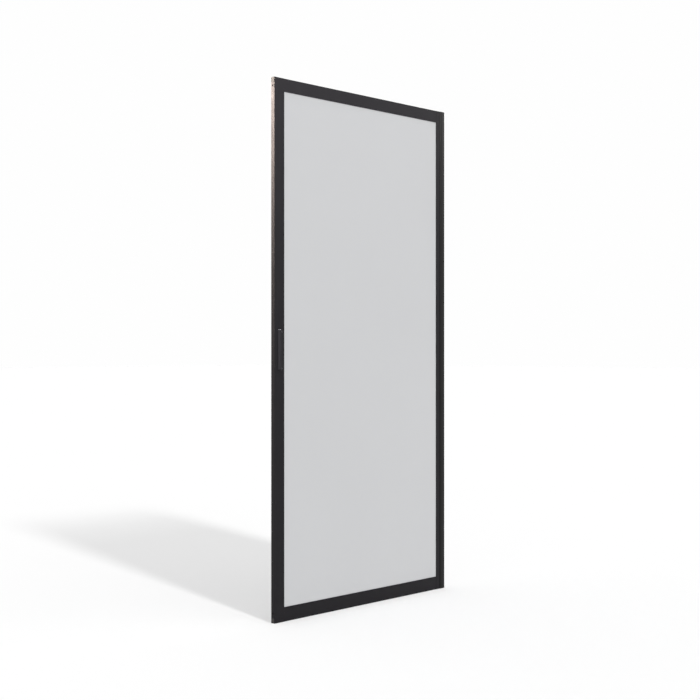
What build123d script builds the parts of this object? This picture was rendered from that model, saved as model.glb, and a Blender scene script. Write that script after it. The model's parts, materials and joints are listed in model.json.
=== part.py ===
from build123d import *
import os

# Framed glass side panel, held by a wall channel along its right-hand edge.
# Millimetres. X runs along the panel from the free edge to the wall, Y from front to back, Z up.
# The origin is the middle of the wall channel's flat outer face.

# Whole panel
panel_height = 2000.0
panel_width = 981.0

# Stiles, the hollow uprights. Each has a rebate, open to the back, behind a front lip.
stile_width = 50.0
stile_depth = 17.5
stile_wall = 1.6
stile_lip = 1.8
stile_edge_radius = 0.4

# Rails, the hollow cross pieces, notched at both ends to pass behind the stiles' lips
top_rail_height = 48.5
bottom_rail_height = 53.5
rail_setback = 0.6
rail_wall = 1.6
rail_edge_radius = 0.4
notch_clearance = 0.05
chamber_corner_radius = 0.6

# Glazing: front tape, pane, back gasket and clipped beads
rebate_depth = 14.0
glass_thickness = 5.0
glass_arris = 0.5
glass_cover = 10.0
tape_thickness = 0.8
tape_width = 8.0
tape_inset = 0.2
gasket_thickness = 2.0
gasket_reach = 6.0
gasket_show = 1.5
gasket_nose_radius = 1.0
gasket_stem_width = 1.4
gasket_stem_from_sight_line = 3.6
gasket_head_width = 2.6
gasket_head_depth = 0.9
gasket_stem_clearance = 0.1
bead_wall = 1.2
bead_chamfer = 2.0
clip_rib_thickness = 1.2
clip_head_width = 2.2
clip_head_height = 0.8
clip_clearance = 0.15
setting_block_length = 60.0
setting_block_side_gap = 0.3

# Corner screws: an access hole in each stile's outer web, a screw hole in its inner web
# and a screw port in the rail
outer_port_distance = 12.0
inner_port_from_rebate = 4.0
port_bore = 4.0
port_wall = 1.6
port_rib = 1.4
port_mouth = 1.6
screw_hole_diameter = 4.6
access_hole_diameter = 6.5

# End caps, pushed into the ends of the stiles
cap_plate = 2.0
cap_cheek_height = 18.0
cap_plug_depth = 14.0
cap_plug_wall = 1.6
cap_edge_chamfer = 0.3
cap_clearance = 0.15

# Wall channel round the right stile
channel_web = 2.0
channel_width = 30.0
channel_flange = 1.8
channel_clearance = 0.15
channel_lip_bevel_width = 3.0
channel_lip_bevel_drop = 1.2
channel_wall_bevel_width = 16.0
channel_wall_bevel_drop = 1.0
channel_lip_radius = 0.3
channel_edge_radius = 0.5
drill_groove_width = 1.2
drill_groove_depth = 0.5
wall_screw_diameter = 4.5
wall_screw_head = 7.5
wall_screw_count = 4
wall_screw_end_distance = 100.0

# Finger pull on the left stile
pull_height = 154.0
pull_centre_height = 1000.0
pull_from_edge = 18.5
pull_flange_width = 20.0
pull_flange_thickness = 1.5
pull_flange_corner_radius = 3.0
flange_from_foot = 2.0
grip_end_inset = 0.5
grip_width = 12.0
grip_ramp_width = 6.5
grip_stand_off = 7.5
grip_wall = 1.6
grip_bend_radius = 2.5
grip_end_radius = 5.0
pull_screw_diameter = 3.6
pull_screw_head = 6.6
pull_screw_from_end = 10.0
pull_screw_from_side = 5.5

# Places worked out from the sizes above
bottom_z = -panel_height / 2
top_z = panel_height / 2
free_edge_x = -panel_width
left_sight_x = free_edge_x + stile_width
right_sight_x = -channel_web - stile_width
opening_width = right_sight_x - left_sight_x
bottom_sight_z = bottom_z + bottom_rail_height
top_sight_z = top_z - top_rail_height
opening_height = top_sight_z - bottom_sight_z
opening_x = (left_sight_x + right_sight_x) / 2
opening_z = (bottom_sight_z + top_sight_z) / 2
stile_front_y = -stile_depth / 2
rail_depth = stile_depth - 2 * rail_setback
rail_length = opening_width + 2 * rebate_depth
lip_back_y = stile_front_y + stile_lip
glass_front_y = lip_back_y + tape_thickness
glass_back_y = glass_front_y + glass_thickness
bead_front_y = glass_back_y + gasket_thickness
bead_back_y = rail_depth / 2
chamber_width = stile_width - rebate_depth - 2 * stile_wall
chamber_depth = stile_depth - 2 * stile_wall


def block(low_x, high_x, low_y, high_y):
    """Rectangle between two corners."""
    centre = Pos((low_x + high_x) / 2, (low_y + high_y) / 2)
    return centre * Rectangle(high_x - low_x, high_y - low_y)


def port_distances(rail_height):
    """Distances of a rail's two screw ports from the rail's outer edge."""
    return [outer_port_distance, rail_height - rebate_depth - inner_port_from_rebate]


def frame_outline(face_width, depth, edge_radius):
    """L-shaped outline, outer edge on x = 0: full depth, then the lip in front of the rebate."""
    outline = Pos(face_width / 2, 0) * RectangleRounded(face_width, depth, edge_radius)
    outline -= block(face_width - rebate_depth, face_width, lip_back_y, depth / 2)
    return outline


def stile_section():
    """Section of a stile, with its outer edge on x = 0 and its lip's edge at x = stile_width."""
    chamber = RectangleRounded(chamber_width, chamber_depth, chamber_corner_radius)
    outline = frame_outline(stile_width, stile_depth, stile_edge_radius)
    return outline - Pos(stile_wall + chamber_width / 2, 0) * chamber


def rail_section(rail_height):
    """Section of a rail, with its outer edge on x = 0 and its lip's edge at x = rail_height."""
    chamber_end = rail_height - rebate_depth - rail_wall
    section = frame_outline(rail_height, rail_depth, rail_edge_radius)
    section -= block(rail_wall, chamber_end, lip_back_y, rail_depth / 2 - rail_wall)
    port_radius = port_bore / 2 + port_wall
    for distance, root in zip(port_distances(rail_height), (rail_wall, chamber_end)):
        inward = 1 if root < distance else -1
        mouth_x = distance + inward * port_radius / 2
        section += Pos((distance + root) / 2, 0) * Rectangle(abs(distance - root), port_rib)
        section += Pos(distance, 0) * Circle(port_radius)
        section -= Pos(distance, 0) * Circle(port_bore / 2)
        section -= Pos(mouth_x, 0) * Rectangle(port_radius, port_mouth)
    return section


def clip_rib(face_width, length):
    """Headed rib on the rebate's floor that a glazing bead clips over, along Z."""
    stem_height = bead_wall + clip_clearance
    rib = Pos(stem_height / 2, 0, 0) * Box(stem_height, clip_rib_thickness, length)
    head = Box(clip_head_height, clip_head_width, length)
    head = chamfer(head.edges().filter_by(Axis.Z).group_by(Axis.X)[-1], clip_head_height / 2)
    rib += Pos(stem_height + clip_head_height / 2, 0, 0) * head
    return Pos(face_width - rebate_depth, (bead_front_y + bead_back_y) / 2, 0) * rib


def cross_hole(diameter, x, z, length):
    """Drilled hole along X through the panel's middle plane."""
    return Pos(x, 0, z) * Rot(0, 90, 0) * Cylinder(diameter / 2, length)


def stile():
    """Left stile with its outer edge on x = 0, its end notches, screw holes and access holes."""
    body = extrude(stile_section(), panel_height / 2, both=True)
    body += Pos(0, 0, opening_z) * clip_rib(stile_width, opening_height)
    inner_web_x = stile_width - rebate_depth - stile_wall / 2
    for end, rail_height in ((1, top_rail_height), (-1, bottom_rail_height)):
        notch_z = end * (panel_height - cap_cheek_height) / 2
        body -= Pos(stile_wall / 2, 0, notch_z) * Box(2 * stile_wall, chamber_depth, cap_cheek_height)
        distances = port_distances(rail_height)
        access_z = end * (panel_height / 2 - distances[1])
        body -= cross_hole(access_hole_diameter, stile_wall / 2, access_z, 2 * stile_wall)
        for distance in distances:
            screw_z = end * (panel_height / 2 - distance)
            body -= cross_hole(screw_hole_diameter, inner_web_x, screw_z, 2 * stile_wall)
    return body


def on_left(piece):
    """Move a piece from its drawing place, outer edge on x = 0, to the free edge."""
    return Pos(free_edge_x, 0, 0) * piece


def on_right(piece):
    """Mirror a left-hand piece and seat its outer edge on the wall channel's web."""
    return Pos(-channel_web, 0, 0) * mirror(piece, about=Plane.YZ)


def along_x(section, length):
    """Extrude a frame section along X, centred, with its outer edge on z = 0 and its lip above."""
    across = Plane(origin=(0, 0, 0), x_dir=(0, 0, 1), z_dir=(-1, 0, 0))
    return extrude(across * section, length / 2, both=True)


def rail(rail_height):
    """Bottom rail in its drawing place: along X, outer edge on z = 0, notched behind the stiles."""
    body = along_x(rail_section(rail_height), rail_length)
    rib = Rot(0, -90, 0) * clip_rib(rail_height, opening_width)
    body += rib
    notch_depth = lip_back_y + notch_clearance + rail_depth / 2
    notch = Box(rebate_depth, 2 * notch_depth, 2 * rail_height)
    for end in (-1, 1):
        body -= Pos(end * (rail_length - rebate_depth) / 2, -rail_depth / 2, 0) * notch
    return body


def glass():
    """Glass pane with ground arrises, reaching into all four rebates."""
    pane = Box(opening_width + 2 * glass_cover, glass_thickness, opening_height + 2 * glass_cover)
    pane = chamfer(pane.edges().filter_by(Axis.Y, reverse=True), glass_arris)
    return Pos(opening_x, glass_front_y + glass_thickness / 2, opening_z) * pane


def bead_section():
    """Section of a glazing bead: the sight line on x = 0, the rebate's floor at -rebate_depth.

    The part near the floor is hollow and clips over the rib. The other part holds the gasket's
    foot in a T-slot, and its back corner is bevelled towards the glass.
    """
    floor_x = -rebate_depth
    middle_y = (bead_front_y + bead_back_y) / 2
    slot_y = bead_front_y + bead_wall
    head_half = gasket_head_width / 2 + gasket_stem_clearance
    stem_half = gasket_stem_width / 2 + gasket_stem_clearance
    slot_x = -gasket_stem_from_sight_line
    section = block(floor_x, 0, bead_front_y, bead_back_y)
    sight_corner = section.vertices().group_by(Axis.X)[-1].sort_by(Axis.Y)[-1]
    section = chamfer(sight_corner, bead_chamfer)
    section -= block(floor_x + bead_wall, slot_x - head_half - bead_wall, slot_y, bead_back_y - bead_wall)
    mouth = clip_rib_thickness + 2 * clip_clearance
    section -= Pos(floor_x, middle_y) * Rectangle(2 * bead_wall, mouth)
    section -= block(slot_x - stem_half, slot_x + stem_half, bead_front_y, slot_y)
    slot_floor_y = slot_y + gasket_head_depth + 2 * gasket_stem_clearance
    section -= block(slot_x - head_half, slot_x + head_half, slot_y, slot_floor_y)
    return section


def gasket_section():
    """Section of the back gasket: a rounded nose past the sight line and an arrow foot in the bead."""
    section = block(-gasket_reach, gasket_show, glass_back_y, bead_front_y)
    nose = section.vertices().group_by(Axis.X)[-1].sort_by(Axis.Y)[-1]
    section = fillet(nose, gasket_nose_radius)
    head_y = bead_front_y + bead_wall + gasket_stem_clearance
    stem = Rectangle(gasket_stem_width, bead_wall + gasket_stem_clearance)
    head = Rectangle(gasket_head_width, gasket_head_depth)
    section += Pos(-gasket_stem_from_sight_line, (bead_front_y + head_y) / 2) * stem
    section += Pos(-gasket_stem_from_sight_line, head_y + gasket_head_depth / 2) * head
    return section


def tape_section():
    """Section of the glazing tape between a lip and the glass, just short of the sight line."""
    return block(-tape_inset - tape_width, -tape_inset, lip_back_y, glass_front_y)


def mitred(section, length, reach):
    """Strip on the bottom side of the daylight opening, along X, mitred through its corners.

    The sight line lies on z = 0, and the strip reaches that far into both side rebates.
    """
    strip = along_x(section, length + 2 * reach)
    for end in (-1, 1):
        mitre = Plane(origin=(end * length / 2, 0, 0), z_dir=(-end, 0, -1))
        strip = split(strip, bisect_by=mitre, keep=Keep.TOP)
    return strip


def round_the_opening(name, section, reach):
    """The four strips of one kind round the daylight opening, by name."""
    sides = {
        "bottom": (opening_x, bottom_sight_z, 0, opening_width),
        "left": (left_sight_x, opening_z, 90, opening_height),
        "top": (opening_x, top_sight_z, 180, opening_width),
        "right": (right_sight_x, opening_z, -90, opening_height),
    }
    return {
        name + "_" + side: Pos(x, 0, z) * Rot(0, turn, 0) * mitred(section, length, reach)
        for side, (x, z, turn, length) in sides.items()
    }


def setting_block():
    """Block that carries the pane's lower edge on the floor of the bottom rail's rebate."""
    height = rebate_depth - glass_cover
    depth = bead_front_y - lip_back_y - 2 * setting_block_side_gap
    middle_y = (lip_back_y + bead_front_y) / 2
    floor_z = bottom_sight_z - rebate_depth
    return Pos(0, middle_y, floor_z + height / 2) * Box(setting_block_length, depth, height)


def end_cap():
    """Top cap of the left stile, outer edge on x = 0: plate, hollow plug and a cheek in the notch."""
    length = stile_wall + chamber_width - cap_clearance
    depth = chamber_depth - 2 * cap_clearance
    plug_height = cap_plate + cap_plug_depth
    plug = Pos(length / 2, 0, -plug_height / 2) * Box(length, depth, plug_height)
    plug = fillet(plug.edges().filter_by(Axis.Z).group_by(Axis.X)[-1], chamber_corner_radius)
    plug = chamfer(plug.faces().sort_by(Axis.Z)[-1].edges(), cap_edge_chamfer)
    hollow = Box(length - 2 * cap_plug_wall, depth - 2 * cap_plug_wall, cap_plug_depth)
    plug -= Pos(length / 2, 0, -cap_plate - cap_plug_depth / 2) * hollow
    cheek_height = cap_cheek_height - cap_clearance - cap_plate
    cheek = Box(cap_plug_wall, depth, cheek_height)
    plug += Pos(cap_plug_wall / 2, 0, -cap_plate - cheek_height / 2) * cheek
    return Pos(0, 0, top_z) * plug


def wall_screw_heights():
    """Heights of the wall screws, evenly spaced between the end distances."""
    first = bottom_z + wall_screw_end_distance
    last = top_z - wall_screw_end_distance
    spacing = (last - first) / (wall_screw_count - 1)
    return [first + index * spacing for index in range(wall_screw_count)]


def wall_channel():
    """Channel with bevelled flanges that wraps the right stile.

    Its web is countersunk for the wall screws, on the line of a V-groove that guides the drill.
    """
    inner_y = stile_depth / 2 + channel_clearance
    flange_y = inner_y + channel_flange
    back_half = [
        (0, flange_y - channel_wall_bevel_drop),
        (-channel_wall_bevel_width, flange_y),
        (channel_lip_bevel_width - channel_width, flange_y),
        (-channel_width, flange_y - channel_lip_bevel_drop),
    ]
    front_half = [(x, -y) for x, y in reversed(back_half)]
    section = make_face(Polyline(*back_half, *front_half, close=True))
    section -= block(-channel_width, -channel_web, -inner_y, inner_y)
    section = fillet(section.vertices().group_by(Axis.X)[0], channel_lip_radius)
    section = fillet(section.vertices().group_by(Axis.X)[-1], channel_edge_radius)
    groove_points = [
        (-channel_web, -drill_groove_width / 2),
        (drill_groove_depth - channel_web, 0),
        (-channel_web, drill_groove_width / 2),
    ]
    section -= make_face(Polyline(*groove_points, close=True))
    channel = extrude(section, panel_height / 2, both=True)
    sink_depth = (wall_screw_head - wall_screw_diameter) / 2
    sink = Cone(wall_screw_diameter / 2, wall_screw_head / 2, sink_depth)
    for z in wall_screw_heights():
        channel -= cross_hole(wall_screw_diameter, -channel_web / 2, z, 2 * channel_web)
        channel -= Pos(-channel_web + sink_depth / 2, 0, z) * Rot(0, -90, 0) * sink
    return channel


def grip_section():
    """Outline of the grip on the stile's face: a ramp from its foot at x = 0, then a flat."""
    corners = [
        (0, 0),
        (grip_ramp_width, -grip_stand_off),
        (grip_width, -grip_stand_off),
        (grip_width, 0),
    ]
    section = make_face(Polyline(*corners, close=True))
    bend = section.vertices().group_by(Axis.Y)[0].sort_by(Axis.X)[0]
    return fillet(bend, grip_bend_radius)


def base_and_mouth(form):
    """The grip's two open faces: against the flange, and towards the glass where fingers go in."""
    return [form.faces().sort_by(Axis.Y)[-1], form.faces().sort_by(Axis.X)[-1]]


def grip():
    """Hollow grip of the pull, an even wall under its ramp, its flat and its round ends."""
    form = extrude(grip_section(), pull_height / 2 - grip_end_inset, both=True)
    base, mouth = base_and_mouth(form)
    rims = form.edges().filter_by(Axis.Z, reverse=True) - base.edges() - mouth.edges()
    form = fillet(rims, grip_end_radius)
    return offset(form, amount=-grip_wall, openings=base_and_mouth(form))


def finger_pull():
    """Finger pull: a screwed flange that carries the grip."""
    outline = RectangleRounded(pull_flange_width, pull_height, pull_flange_corner_radius)
    flange_x = flange_from_foot + pull_flange_width / 2
    flange = extrude(Plane.XZ * Pos(flange_x, 0) * outline, pull_flange_thickness)
    pull = flange + grip()
    sink_depth = (pull_screw_head - pull_screw_diameter) / 2
    sink = Cone(pull_screw_diameter / 2, pull_screw_head / 2, sink_depth)
    hole = Cylinder(pull_screw_diameter / 2, 2 * grip_stand_off)
    screw_x = flange_from_foot + pull_flange_width - pull_screw_from_side
    for end in (-1, 1):
        screw_z = end * (pull_height / 2 - pull_screw_from_end)
        pull -= Pos(screw_x, 0, screw_z) * Rot(90, 0, 0) * hole
        pull -= Pos(screw_x, sink_depth / 2 - pull_flange_thickness, screw_z) * Rot(90, 0, 0) * sink
    return Pos(free_edge_x + pull_from_edge, stile_front_y, bottom_z + pull_centre_height) * pull


def build_panel():
    """All pieces of the panel in their places, by name."""
    left_stile = stile()
    top_cap = end_cap()
    bottom_cap = mirror(top_cap, about=Plane.XY)
    block_shift = opening_width / 4
    pieces = {
        "left_stile": on_left(left_stile),
        "right_stile": on_right(left_stile),
        "wall_channel": wall_channel(),
        "top_rail": Pos(opening_x, 0, top_z) * Rot(0, 180, 0) * rail(top_rail_height),
        "bottom_rail": Pos(opening_x, 0, bottom_z) * rail(bottom_rail_height),
        "glass_pane": glass(),
        "left_stile_top_cap": on_left(top_cap),
        "left_stile_bottom_cap": on_left(bottom_cap),
        "right_stile_top_cap": on_right(top_cap),
        "right_stile_bottom_cap": on_right(bottom_cap),
        "setting_block_left": Pos(opening_x - block_shift, 0, 0) * setting_block(),
        "setting_block_right": Pos(opening_x + block_shift, 0, 0) * setting_block(),
        "finger_pull": finger_pull(),
    }
    pieces.update(round_the_opening("glazing_bead", bead_section(), rebate_depth))
    pieces.update(round_the_opening("back_gasket", gasket_section(), gasket_reach))
    pieces.update(round_the_opening("front_tape", tape_section(), tape_inset + tape_width))
    return pieces


os.makedirs("parts", exist_ok=True)
for name, piece in build_panel().items():
    export_step(piece, "parts/" + name + ".step")
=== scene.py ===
import json
import math

import bmesh
import bpy
from mathutils import Matrix, Vector


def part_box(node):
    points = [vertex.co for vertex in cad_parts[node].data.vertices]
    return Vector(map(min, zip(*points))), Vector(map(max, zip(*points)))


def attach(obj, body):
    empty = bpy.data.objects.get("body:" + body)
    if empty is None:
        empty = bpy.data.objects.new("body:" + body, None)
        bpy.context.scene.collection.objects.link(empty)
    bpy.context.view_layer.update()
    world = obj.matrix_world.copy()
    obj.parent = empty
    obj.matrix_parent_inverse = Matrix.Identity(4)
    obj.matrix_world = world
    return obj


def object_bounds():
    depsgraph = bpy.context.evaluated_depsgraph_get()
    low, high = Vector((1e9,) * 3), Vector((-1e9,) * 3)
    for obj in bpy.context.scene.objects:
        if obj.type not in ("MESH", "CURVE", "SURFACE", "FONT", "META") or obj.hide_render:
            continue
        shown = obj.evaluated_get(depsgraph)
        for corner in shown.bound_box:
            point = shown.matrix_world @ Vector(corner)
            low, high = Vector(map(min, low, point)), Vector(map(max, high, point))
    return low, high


# Looks of the framed glass side panel: materials, small fasteners, floor, lamps and camera.
# Everything is in metres, in the frame of the CAD model. The front faces -Y.

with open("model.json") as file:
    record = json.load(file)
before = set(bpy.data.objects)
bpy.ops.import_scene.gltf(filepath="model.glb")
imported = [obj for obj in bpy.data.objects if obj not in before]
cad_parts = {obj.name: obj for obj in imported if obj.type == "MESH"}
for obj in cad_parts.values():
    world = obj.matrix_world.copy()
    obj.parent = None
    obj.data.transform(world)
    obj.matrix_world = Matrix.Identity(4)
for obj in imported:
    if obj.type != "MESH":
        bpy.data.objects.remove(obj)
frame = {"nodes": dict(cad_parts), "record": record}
CAD_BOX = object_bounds()
NODES = frame["nodes"]
BODY = "root"
MM = 0.001
WHITE = (1.0, 1.0, 1.0, 1.0)

# Places read from the CAD nodes
PANEL_LOW, PANEL_HIGH = CAD_BOX
STILE_LOW, STILE_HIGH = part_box("left_stile")
RIGHT_STILE_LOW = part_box("right_stile")[0]
CHANNEL_LOW, CHANNEL_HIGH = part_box("wall_channel")
PULL_LOW, PULL_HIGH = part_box("finger_pull")
FREE_EDGE = Vector((PANEL_LOW.x, 0.0, 0.0))
WALL_EDGE = Vector((PANEL_HIGH.x, 0.0, 0.0))
MIDDLE = (FREE_EDGE + WALL_EDGE) / 2
FLOOR_Z = PANEL_LOW.z
HEIGHT = PANEL_HIGH.z - PANEL_LOW.z

# Camera, worked out from the perspective of the photo
FRAME_PIXELS = 700
FOCAL_PIXELS = 1283.0
SENSOR_WIDTH = 36.0
CAMERA_LEFT = 1.6121 * HEIGHT
CAMERA_FRONT = 1.7069 * HEIGHT
CAMERA_RISE = 0.0002 * HEIGHT
LOOK_ALONG = Vector((0.7282, 0.6854, 0.0))

# Floor and surroundings
SKY_STRENGTH = 0.815
BACKGROUND = 0.992
FLOOR_ALBEDO = 0.8
FLOOR_UNEVENNESS = 0.002
FLOOR_GLOW = 0.149
FLOOR_REACH = 60.0

# Key light: a column of suns, each with its travel along Y for each metre that its light falls,
# and its share of the strength. All of them travel sideways by the same part of the way along Y.
KEY_STRENGTH = 1.38
KEY_DEGREES = 4.8
KEY_SIDEWAYS = 0.272
KEY_COLUMN = ((1.57, 0.30), (1.42, 0.34), (1.27, 0.22), (1.09, 0.14))

# Soft boxes: name, the place that each faces, its offset from there, width and height, radiance, colour
SOFT_BOXES = (
    ("left_box", FREE_EDGE, (-3.6, 3.8, 2.5), (1.6, 1.8), 92.0, (1.0, 0.86, 0.74)),
    ("pull_box", FREE_EDGE, (-4.9, -3.45, 1.2), (2.0, 2.0), 7.0, (0.95, 0.95, 1.0)),
    ("front_box", MIDDLE, (2.6, -4.9, 2.9), (4.0, 3.0), 1.25, (0.95, 0.92, 1.0)),
    ("lip_box", WALL_EDGE, (0.9, -5.5, 3.2), (1.4, 2.4), 19.0, (1.0, 0.97, 0.95)),
    ("right_box", WALL_EDGE, (5.5, -2.7, 3.2), (1.2, 3.0), 4.0, (1.0, 0.98, 0.96)),
    ("rim_box", WALL_EDGE, (6.0, 1.2, 3.4), (1.2, 3.0), 260.0, (1.0, 0.98, 0.96)),
    ("top_box", FREE_EDGE, (0.1, -0.32, 3.6), (2.2, 0.5), 300.0, (0.96, 0.97, 1.0)),
)

# Powder coats: colour, tint of the sheen, lowest and highest roughness
VIOLET_SHEEN = (0.985, 0.93, 1.0)
WARM_SHEEN = (1.0, 0.98, 0.96)
COATS = {
    "frame_black": ((0.0066, 0.0062, 0.0074), VIOLET_SHEEN, (0.29, 0.39)),
    "channel_black": ((0.0040, 0.0038, 0.0040), WARM_SHEEN, (0.26, 0.36)),
    # The pull's coat is lighter than the frame's: painted light, standing in for the light that falls on
    # the pull's left side and ramp.
    "pull_black": ((0.0130, 0.0125, 0.0140), VIOLET_SHEEN, (0.26, 0.36)),
}
COAT_LIGHTENING = 1.18
COAT_WORN = (0.02, 0.02, 0.021)
COAT_WEAR = 0.5
COAT_SPECULAR = 0.14

# Other surfaces: darker and lighter colour, lowest and highest roughness, and gloss
GLASS_GREYS = ((0.537, 0.542, 0.552), (0.545, 0.550, 0.560))
GLASS_ROUGHNESS = (0.56, 0.66)
GLASS_SPECULAR = 0.12
GLASS_TRANSMISSION = 0.06
GLASS_IOR = 1.5
RUBBERS = {"gasket_rubber": (0.012, 0.012, 0.013), "block_rubber": (0.02, 0.02, 0.02)}
RUBBER_DUST = 0.02
RUBBER_DUST_COVER = 0.35
RUBBER_ROUGHNESS = (0.62, 0.82)
RUBBER_SPECULAR = 0.2
PLASTIC_BLACKS = ((0.016, 0.016, 0.017), (0.022, 0.022, 0.023))
PLASTIC_EDGE_COLOUR = (0.035, 0.035, 0.036)
PLASTIC_ROUGHNESS = (0.42, 0.56)
PLASTIC_SPECULAR = 0.3
STEEL_GREYS = ((0.10, 0.10, 0.105), (0.16, 0.16, 0.165))
STEEL_EDGE_COLOUR = (0.42, 0.42, 0.43)
STEEL_ROUGHNESS = (0.3, 0.42)

# Rounding of the edges that catch the light
BEVEL_SAMPLES = 6
METAL_EDGE_RADIUS = 0.25 * MM
PLASTIC_EDGE_RADIUS = 0.5 * MM

# Sockets of the mix node that carry colours
MIX_COLOURS = (6, 7)
MIX_RESULT = 2

# Small fasteners. A socket has its radius at the corners and its depth.
SCREW_SIDES = 36
CORNER_SCREW_HEAD = 6.6 * MM
CORNER_SCREW_HEAD_HEIGHT = 2.2 * MM
CORNER_SCREW_SHANK = 4.0 * MM
CORNER_SCREW_REACH = 24.0 * MM
CORNER_SCREW_SOCKET = (1.6 * MM, 1.3 * MM)
REBATE_AND_WEB = 15.6 * MM
CORNER_SCREWS_FROM_TOP = (12.0 * MM, 30.5 * MM)
CORNER_SCREWS_FROM_BOTTOM = (12.0 * MM, 35.5 * MM)
PULL_SCREW_HEAD = 6.4 * MM
PULL_SCREW_SOCKET = (1.3 * MM, 1.2 * MM)
PULL_SCREW_FROM_END = 10.0 * MM
PULL_SCREW_FROM_SIDE = 5.5 * MM
PULL_FLANGE = 1.5 * MM
CHANNEL_SCREW_HEAD = 7.0 * MM
CHANNEL_SCREW_HEAD_HEIGHT = 2.4 * MM
CHANNEL_SCREW_SHANK = 3.5 * MM
CHANNEL_SCREW_REACH = 7.0 * MM
CHANNEL_SCREW_SOCKET = (1.5 * MM, 1.4 * MM)
CHANNEL_SCREW_SINK = 0.05 * MM
CHANNEL_SCREW_HEIGHTS = (-0.8, -0.27, 0.27, 0.8)


def new_material(name):
    """New node material, with its nodes, its links and its principled shader."""
    material = bpy.data.materials.new(name)
    material.use_nodes = True
    nodes = material.node_tree.nodes
    return material, nodes, material.node_tree.links, nodes["Principled BSDF"]


def noise(nodes, links, scale, detail=4.0, roughness=0.55, stretch=(1.0, 1.0, 1.0)):
    """Noise over the object's own coordinates, in features per metre."""
    coordinates = nodes.new("ShaderNodeTexCoord")
    mapping = nodes.new("ShaderNodeMapping")
    mapping.inputs["Scale"].default_value = stretch
    texture = nodes.new("ShaderNodeTexNoise")
    texture.inputs["Scale"].default_value = scale
    texture.inputs["Detail"].default_value = detail
    texture.inputs["Roughness"].default_value = roughness
    links.new(coordinates.outputs["Object"], mapping.inputs["Vector"])
    links.new(mapping.outputs["Vector"], texture.inputs["Vector"])
    return texture.outputs["Fac"]


def remap(nodes, links, value, low, high, from_low=0.3, from_high=0.7):
    """Value spread from one range to another and clamped."""
    node = nodes.new("ShaderNodeMapRange")
    node.inputs["From Min"].default_value = from_low
    node.inputs["From Max"].default_value = from_high
    node.inputs["To Min"].default_value = low
    node.inputs["To Max"].default_value = high
    links.new(value, node.inputs["Value"])
    return node.outputs["Result"]


def calculate(nodes, links, operation, first, second):
    """Result of a math operation on a socket and on another socket or a number."""
    node = nodes.new("ShaderNodeMath")
    node.operation = operation
    links.new(first, node.inputs[0])
    if isinstance(second, float):
        node.inputs[1].default_value = second
    else:
        links.new(second, node.inputs[1])
    return node.outputs[0]


def blend_colours(nodes, links, factor, first, second):
    """Mix of two colours by a factor, each a colour or a socket."""
    node = nodes.new("ShaderNodeMix")
    node.data_type = "RGBA"
    links.new(factor, node.inputs["Factor"])
    for index, colour in zip(MIX_COLOURS, (first, second)):
        if isinstance(colour, tuple):
            node.inputs[index].default_value = (*colour, 1.0)
        else:
            links.new(colour, node.inputs[index])
    return node.outputs[MIX_RESULT]


def bump(nodes, links, height, distance, strength, normal=None):
    """Bump of a height field, in metres, on top of another normal."""
    node = nodes.new("ShaderNodeBump")
    node.inputs["Strength"].default_value = strength
    node.inputs["Distance"].default_value = distance
    links.new(height, node.inputs["Height"])
    if normal is not None:
        links.new(normal, node.inputs["Normal"])
    return node.outputs["Normal"]


def edge_mask(nodes, links, radius):
    """Soft-edged normal, and a mask that is 1 along the outer edges."""
    soft = nodes.new("ShaderNodeBevel")
    soft.samples = BEVEL_SAMPLES
    soft.inputs["Radius"].default_value = radius
    plain = nodes.new("ShaderNodeNewGeometry")
    dot = nodes.new("ShaderNodeVectorMath")
    dot.operation = "DOT_PRODUCT"
    links.new(soft.outputs["Normal"], dot.inputs[0])
    links.new(plain.outputs["Normal"], dot.inputs[1])
    mask = remap(nodes, links, dot.outputs["Value"], 1.0, 0.0, from_low=0.75, from_high=0.98)
    return soft.outputs["Normal"], mask


def powder_coat(name, colour, sheen, roughness):
    """Semi-gloss black powder coat: orange peel, faint clouds, handling marks and rubbed edges."""
    material, nodes, links, shader = new_material(name)
    soft_normal, edges = edge_mask(nodes, links, METAL_EDGE_RADIUS)
    clouds = remap(nodes, links, noise(nodes, links, scale=5.0, detail=5.0), 0.0, 1.0)
    lighter = tuple(channel * COAT_LIGHTENING for channel in colour)
    base = blend_colours(nodes, links, clouds, colour, lighter)
    spots = noise(nodes, links, scale=160.0, detail=3.0)
    chips = remap(nodes, links, spots, 0.0, COAT_WEAR, from_low=0.45, from_high=0.7)
    rubbed = calculate(nodes, links, "MULTIPLY", edges, chips)
    links.new(blend_colours(nodes, links, rubbed, base, COAT_WORN), shader.inputs["Base Color"])
    marks = noise(nodes, links, scale=45.0, detail=6.0, roughness=0.65, stretch=(1.0, 1.0, 0.25))
    links.new(remap(nodes, links, marks, *roughness), shader.inputs["Roughness"])
    peel = noise(nodes, links, scale=900.0, detail=2.0)
    normal = bump(nodes, links, peel, distance=0.03 * MM, strength=0.6, normal=soft_normal)
    links.new(normal, shader.inputs["Normal"])
    shader.inputs["Specular IOR Level"].default_value = COAT_SPECULAR
    shader.inputs["Specular Tint"].default_value = (*sheen, 1.0)
    return material


def satin_glass():
    """Pale grey etched glass: even, with a fine grain and very faint clouds."""
    material, nodes, links, shader = new_material("satin_glass")
    clouds = remap(nodes, links, noise(nodes, links, scale=2.2, detail=3.0), 0.0, 1.0)
    links.new(blend_colours(nodes, links, clouds, *GLASS_GREYS), shader.inputs["Base Color"])
    grain = noise(nodes, links, scale=2600.0, detail=2.0)
    links.new(remap(nodes, links, grain, *GLASS_ROUGHNESS), shader.inputs["Roughness"])
    links.new(bump(nodes, links, grain, distance=0.01 * MM, strength=0.4), shader.inputs["Normal"])
    shader.inputs["Specular IOR Level"].default_value = GLASS_SPECULAR
    shader.inputs["Transmission Weight"].default_value = GLASS_TRANSMISSION
    shader.inputs["IOR"].default_value = GLASS_IOR
    return material


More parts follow.
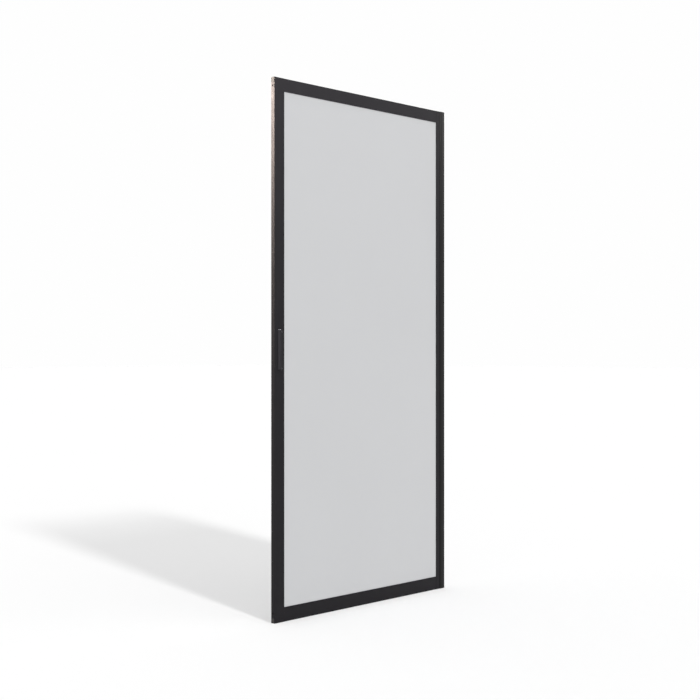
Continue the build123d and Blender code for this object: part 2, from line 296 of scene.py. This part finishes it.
def rubber(name, colour):
    """Matte black rubber with a bloom of dust and a fine skin."""
    material, nodes, links, shader = new_material(name)
    specks = noise(nodes, links, scale=60.0, detail=5.0)
    dust = remap(nodes, links, specks, 0.0, RUBBER_DUST_COVER, from_low=0.45, from_high=0.75)
    dusty = tuple(channel + RUBBER_DUST for channel in colour)
    links.new(blend_colours(nodes, links, dust, colour, dusty), shader.inputs["Base Color"])
    rough = remap(nodes, links, dust, *RUBBER_ROUGHNESS, from_low=0.0, from_high=RUBBER_DUST_COVER)
    links.new(rough, shader.inputs["Roughness"])
    skin = noise(nodes, links, scale=1500.0, detail=2.0)
    links.new(bump(nodes, links, skin, distance=0.04 * MM, strength=0.5), shader.inputs["Normal"])
    shader.inputs["Specular IOR Level"].default_value = RUBBER_SPECULAR
    return material


def moulded_plastic():
    """Black moulded plastic of the end caps, spark-eroded texture, polished along the edges."""
    material, nodes, links, shader = new_material("cap_plastic")
    soft_normal, edges = edge_mask(nodes, links, PLASTIC_EDGE_RADIUS)
    clouds = remap(nodes, links, noise(nodes, links, scale=30.0), 0.0, 1.0)
    base = blend_colours(nodes, links, clouds, *PLASTIC_BLACKS)
    links.new(blend_colours(nodes, links, edges, base, PLASTIC_EDGE_COLOUR), shader.inputs["Base Color"])
    erosion = noise(nodes, links, scale=2200.0, detail=3.0)
    links.new(remap(nodes, links, erosion, *PLASTIC_ROUGHNESS), shader.inputs["Roughness"])
    normal = bump(nodes, links, erosion, distance=0.03 * MM, strength=0.5, normal=soft_normal)
    links.new(normal, shader.inputs["Normal"])
    shader.inputs["Specular IOR Level"].default_value = PLASTIC_SPECULAR
    return material


def screw_steel():
    """Blackened steel of the screws, with bright rubbed edges."""
    material, nodes, links, shader = new_material("screw_steel")
    soft_normal, edges = edge_mask(nodes, links, METAL_EDGE_RADIUS)
    clouds = remap(nodes, links, noise(nodes, links, scale=300.0), 0.0, 1.0)
    base = blend_colours(nodes, links, clouds, *STEEL_GREYS)
    links.new(blend_colours(nodes, links, edges, base, STEEL_EDGE_COLOUR), shader.inputs["Base Color"])
    rough = remap(nodes, links, clouds, *STEEL_ROUGHNESS, from_low=0.0, from_high=1.0)
    links.new(rough, shader.inputs["Roughness"])
    links.new(soft_normal, shader.inputs["Normal"])
    shader.inputs["Metallic"].default_value = 1.0
    return material


def dress_nodes():
    """Give every CAD node the finish of its slot in the record."""
    finishes = {"satin_glass": satin_glass(), "cap_plastic": moulded_plastic()}
    for name, (colour, sheen, roughness) in COATS.items():
        finishes[name] = powder_coat(name, colour, sheen, roughness)
    for name, colour in RUBBERS.items():
        finishes[name] = rubber(name, colour)
    for part in frame["record"]["subparts"]:
        materials = NODES[part["node"]].data.materials
        materials.clear()
        materials.append(finishes[part["material_slot"]])


def mesh_object(name, mesh, material):
    """Turn a bmesh into an object with one material, and free the bmesh."""
    data = bpy.data.meshes.new(name)
    mesh.to_mesh(data)
    mesh.free()
    data.materials.append(material)
    made = bpy.data.objects.new(name, data)
    bpy.context.scene.collection.objects.link(made)
    return made


def circle(radius):
    """Outline of a circle: its radius at each angle."""
    return lambda angle: radius


def hexagon(radius):
    """Outline of a hexagon with this radius at its corners: its radius at each angle."""
    def outline(angle):
        from_side = (angle + math.pi / 6) % (math.pi / 3) - math.pi / 6
        return radius * math.cos(math.pi / 6) / math.cos(from_side)
    return outline


def add_ring(mesh, place, outline, height):
    """Closed ring of points round a screw's axis."""
    ring = []
    for index in range(SCREW_SIDES):
        angle = 2 * math.pi * index / SCREW_SIDES
        radius = outline(angle)
        point = Vector((radius * math.cos(angle), radius * math.sin(angle), height))
        ring.append(mesh.verts.new(place @ point))
    return ring


def add_screw(mesh, place, profile, socket):
    """Turned screw from a profile of (radius, height), with a hexagon socket in its head."""
    socket_radius, socket_depth = socket
    top = profile[-1][1]
    outlines = [(circle(radius), height) for radius, height in profile]
    outlines += [(hexagon(socket_radius), height) for height in (top, top - socket_depth)]
    rings = [add_ring(mesh, place, outline, height) for outline, height in outlines]
    for lower, upper in zip(rings, rings[1:]):
        for index in range(SCREW_SIDES):
            after = (index + 1) % SCREW_SIDES
            mesh.faces.new((lower[index], lower[after], upper[after], upper[index]))
    mesh.faces.new(list(reversed(rings[0])))
    mesh.faces.new(rings[-1])


def add_screws(name, material, profile, socket, places):
    """One piece that rides on the panel, with the same screw at each place."""
    mesh = bmesh.new()
    for place in places:
        add_screw(mesh, place, profile, socket)
    bmesh.ops.recalc_face_normals(mesh, faces=mesh.faces)
    piece = mesh_object(name, mesh, material)
    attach(piece, BODY)


def facing(direction, origin):
    """Placement that turns a screw's axis from +Z to a direction and moves its seat to a point."""
    turn = Vector(direction).to_track_quat("Z", "Y").to_matrix().to_4x4()
    return Matrix.Translation(origin) @ turn


def pan_head(head, height, shank, reach):
    """Profile of a pan-head screw, from the tip of its shank to the top of its head."""
    return (
        (shank * 0.3, -reach),
        (shank * 0.5, -reach + shank * 0.6),
        (shank * 0.5, 0.0),
        (head * 0.5, 0.0),
        (head * 0.5, height * 0.35),
        (head * 0.47, height * 0.7),
        (head * 0.38, height),
    )


def countersunk_head(head):
    """Profile of a countersunk screw, from the tip of its shank to its flush top."""
    return (
        (1.0 * MM, -9.0 * MM),
        (1.7 * MM, -7.5 * MM),
        (1.7 * MM, -1.5 * MM),
        (head * 0.5, -0.15 * MM),
        (head * 0.5 * 0.97, 0.0),
    )


def corner_screws(material):
    """Screws that hold the rails, seated on the inner webs inside both stiles."""
    profile = pan_head(
        CORNER_SCREW_HEAD, CORNER_SCREW_HEAD_HEIGHT, CORNER_SCREW_SHANK, CORNER_SCREW_REACH)
    seats = ((STILE_HIGH.x - REBATE_AND_WEB, -1.0), (RIGHT_STILE_LOW.x + REBATE_AND_WEB, 1.0))
    heights = [PANEL_HIGH.z - distance for distance in CORNER_SCREWS_FROM_TOP]
    heights += [PANEL_LOW.z + distance for distance in CORNER_SCREWS_FROM_BOTTOM]
    places = [facing((outward, 0.0, 0.0), (x, 0.0, height)) for height in heights for x, outward in seats]
    add_screws("corner_screws", material, profile, CORNER_SCREW_SOCKET, places)


def pull_screws(material):
    """Countersunk screws of the finger pull, flush with its flange."""
    profile = countersunk_head(PULL_SCREW_HEAD)
    x = PULL_HIGH.x - PULL_SCREW_FROM_SIDE
    y = STILE_LOW.y - PULL_FLANGE
    heights = (PULL_LOW.z + PULL_SCREW_FROM_END, PULL_HIGH.z - PULL_SCREW_FROM_END)
    places = [facing((0.0, -1.0, 0.0), (x, y, height)) for height in heights]
    add_screws("pull_screws", material, profile, PULL_SCREW_SOCKET, places)


def channel_screws(material):
    """Pan-head screws through the channel's back flange into the right stile."""
    profile = pan_head(
        CHANNEL_SCREW_HEAD, CHANNEL_SCREW_HEAD_HEIGHT, CHANNEL_SCREW_SHANK, CHANNEL_SCREW_REACH)
    x = (CHANNEL_LOW.x + CHANNEL_HIGH.x) / 2
    y = CHANNEL_HIGH.y - CHANNEL_SCREW_SINK
    places = [facing((0.0, 1.0, 0.0), (x, y, height)) for height in CHANNEL_SCREW_HEIGHTS]
    add_screws("channel_screws", material, profile, CHANNEL_SCREW_SOCKET, places)


def seen_through(nodes, links):
    """1 for camera, glossy and transmission rays, 0 for the rays that light the object."""
    path = nodes.new("ShaderNodeLightPath")
    seen = path.outputs["Is Camera Ray"]
    for ray in ("Is Glossy Ray", "Is Transmission Ray"):
        seen = calculate(nodes, links, "MAXIMUM", seen, path.outputs[ray])
    return seen


def floor_paint():
    """Matte white, with a glow that only shows where the floor is seen."""
    material, nodes, links, shader = new_material("studio_floor")
    lightest = FLOOR_ALBEDO + FLOOR_UNEVENNESS
    darkest = FLOOR_ALBEDO - FLOOR_UNEVENNESS
    shade = remap(nodes, links, noise(nodes, links, scale=0.8), darkest, lightest)
    grey = nodes.new("ShaderNodeCombineColor")
    for channel in ("Red", "Green", "Blue"):
        links.new(shade, grey.inputs[channel])
    links.new(grey.outputs["Color"], shader.inputs["Base Color"])
    glow = calculate(nodes, links, "MULTIPLY", seen_through(nodes, links), FLOOR_GLOW)
    links.new(glow, shader.inputs["Emission Strength"])
    shader.inputs["Emission Color"].default_value = WHITE
    shader.inputs["Roughness"].default_value = 1.0
    shader.inputs["Specular IOR Level"].default_value = 0.0
    return material


def make_floor():
    """White floor that keeps the panel's shadow and runs into the white background."""
    mesh = bmesh.new()
    for x, y in ((-1, -1), (1, -1), (1, 1), (-1, 1)):
        mesh.verts.new((x * FLOOR_REACH, y * FLOOR_REACH, FLOOR_Z))
    mesh.faces.new(mesh.verts)
    floor = mesh_object("studio_floor", mesh, floor_paint())


def make_world():
    """White surroundings: full white where they are seen, plainer where they light the object."""
    world = bpy.data.worlds.new("studio")
    bpy.context.scene.world = world
    world.use_nodes = True
    nodes, links = world.node_tree.nodes, world.node_tree.links
    background = nodes["Background"]
    background.inputs["Color"].default_value = WHITE
    seen = seen_through(nodes, links)
    strength = remap(nodes, links, seen, SKY_STRENGTH, BACKGROUND, from_low=0.0, from_high=1.0)
    links.new(strength, background.inputs["Strength"])


def add_aimed(name, data, place, direction):
    """Object that holds a lamp or the camera at a place and looks along a direction."""
    holder = bpy.data.objects.new(name, data)
    holder.location = place
    holder.rotation_mode = "QUATERNION"
    holder.rotation_quaternion = direction.to_track_quat("-Z", "Y")
    bpy.context.scene.collection.objects.link(holder)
    return holder


def add_key():
    """Tall narrow key light from the front, slightly left.

    The shadow behind the panel gets a crisp side edge and a soft far edge.
    """
    for index, (travel, share) in enumerate(KEY_COLUMN):
        name = "key_" + str(index)
        lamp = bpy.data.lights.new(name, "SUN")
        lamp.energy = KEY_STRENGTH * share
        lamp.angle = math.radians(KEY_DEGREES)
        add_aimed(name, lamp, (0.0, 0.0, 0.0), Vector((KEY_SIDEWAYS * travel, travel, -1.0)))


def add_soft_box(name, target, offset, size, radiance, colour):
    """Soft box that is only seen in glossy surfaces, so it lights nothing else."""
    width, height = size
    lamp = bpy.data.lights.new(name, "AREA")
    lamp.shape = "RECTANGLE"
    lamp.size = width
    lamp.size_y = height
    lamp.energy = radiance * math.pi * width * height
    lamp.color = colour
    place = target + Vector(offset)
    holder = add_aimed(name, lamp, place, target - place)
    holder.visible_diffuse = False
    holder.visible_transmission = False
    holder.visible_camera = False


def make_lamps():
    """Key light, and the soft boxes that the semi-gloss frame mirrors."""
    add_key()
    for soft_box in SOFT_BOXES:
        add_soft_box(*soft_box)


def make_camera():
    """Level camera at mid-height, to the front left."""
    camera_data = bpy.data.cameras.new("camera")
    camera_data.sensor_width = SENSOR_WIDTH
    camera_data.lens = SENSOR_WIDTH * FOCAL_PIXELS / FRAME_PIXELS
    mid_height = (PANEL_LOW.z + PANEL_HIGH.z) / 2
    place = (STILE_LOW.x - CAMERA_LEFT, STILE_LOW.y - CAMERA_FRONT, mid_height + CAMERA_RISE)
    bpy.context.scene.camera = add_aimed("camera", camera_data, place, LOOK_ALONG)


dress_nodes()
steel = screw_steel()
corner_screws(steel)
pull_screws(steel)
channel_screws(steel)
make_floor()
make_world()
make_lamps()
make_camera()
bpy.context.scene.view_settings.view_transform = "Standard"
